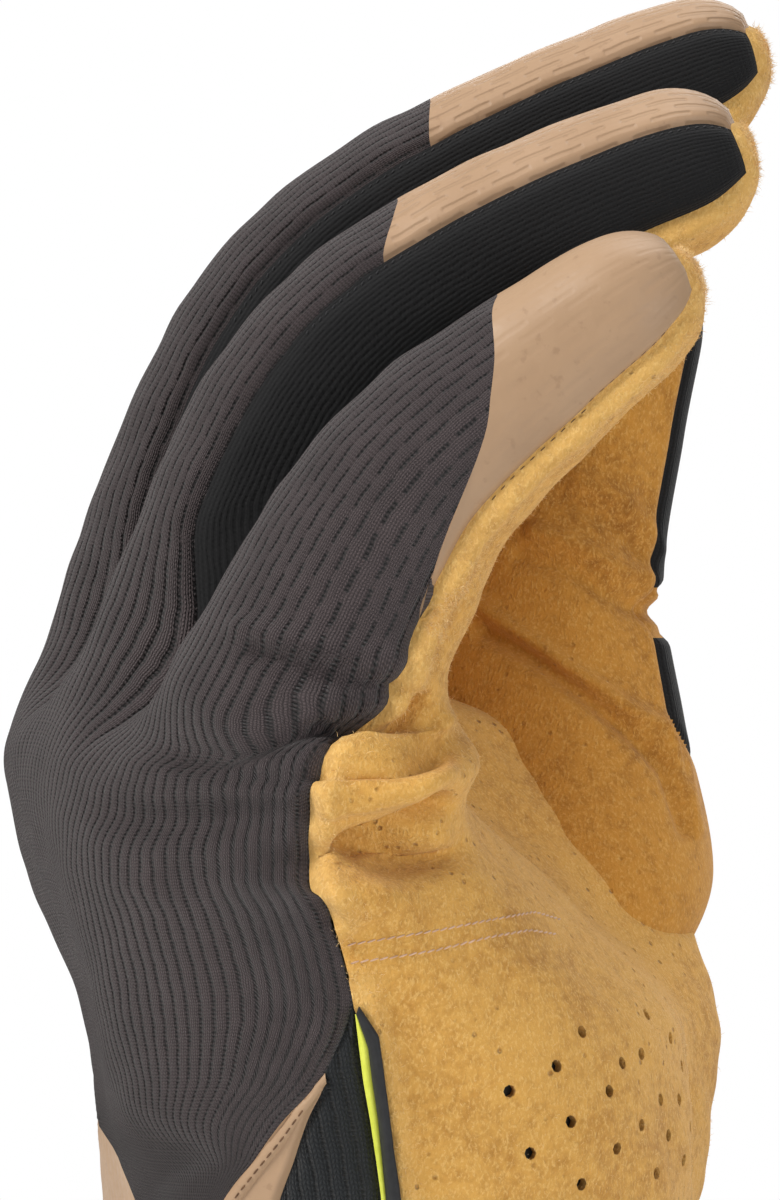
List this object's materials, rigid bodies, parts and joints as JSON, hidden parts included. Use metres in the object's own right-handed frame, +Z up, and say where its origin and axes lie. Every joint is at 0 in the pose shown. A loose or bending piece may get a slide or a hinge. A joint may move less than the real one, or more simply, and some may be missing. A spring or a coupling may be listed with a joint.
{
  "type": "mechanic glove",
  "caption": "Right work glove in its worn, half curled shape: knit back with capped fingertips, suede palm, black finger sides and a plain wrist cuff.",
  "frame": {"origin": "centre of the wrist opening, where the hand goes in", "axes": "+Z up along the glove towards the fingers, -Y out of the back of the hand, +X towards the little finger"},
  "size_m": [0.1057, 0.0935, 0.1919],
  "materials": {
    "knit": "ribbed matt knit",
    "cap": "satin film",
    "suede": "brushed suede",
    "black": "matt knit",
    "tag": "woven"
  },
  "bodies": {
    "root": {"back_panel": "knit", "cap_pinky": "cap", "cap_ring": "cap", "cap_middle": "cap", "cap_index": "cap", "wrist_panel": "cap", "palm_panel": "suede", "thumb_front": "suede", "fourchette_ring_pinky": "black", "fourchette_middle_ring": "black", "fourchette_index_middle": "black", "gusset_ulnar": "black", "gusset_radial": "black", "wrist_cuff": "black", "thumb_back": "black", "side_tag": "tag"}
  },
  "joints": []
}
